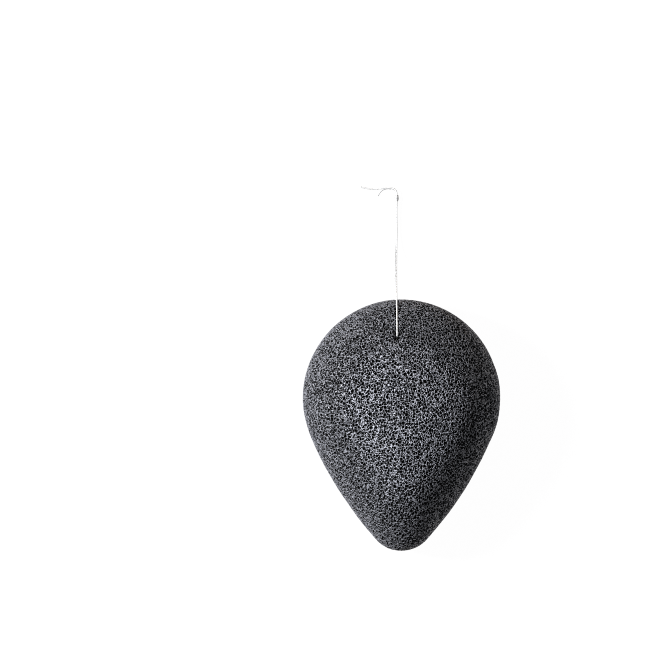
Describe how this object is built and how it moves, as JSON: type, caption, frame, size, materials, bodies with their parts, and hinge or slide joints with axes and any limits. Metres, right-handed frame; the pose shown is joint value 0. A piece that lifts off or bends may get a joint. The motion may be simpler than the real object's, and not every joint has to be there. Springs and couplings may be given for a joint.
{
  "type": "konjac sponge",
  "caption": "Drop-shaped dark grey konjac foam sponge with a domed front and a flat back, threaded near its round end with a knotted white hanging loop.",
  "frame": {"origin": "middle of the sponge body's box, on the flat back face that it lies on", "axes": "+Z out of the domed front, +Y from the point to the round crown end, +X to the right seen from the front"},
  "size_m": [0.065, 0.1214, 0.028],
  "materials": {
    "foam": "matte",
    "thread": "satin"
  },
  "bodies": {
    "sponge": {"sponge_body": "foam", "thread_core": "thread", "front_stitch": "thread", "back_stitch": "thread"},
    "hanging_loop": {"front_strand": "thread", "back_strand": "thread", "loop_knot": "thread", "long_tail": "thread", "short_tail": "thread"}
  },
  "joints": [
    {"name": "loop_swing", "type": "hinge", "parent": "sponge", "child": "hanging_loop", "pos_m": [-0.0017, 0.0431, 0], "axis": [0, 0, 1], "range_deg": [-80, 80]}
  ]
}
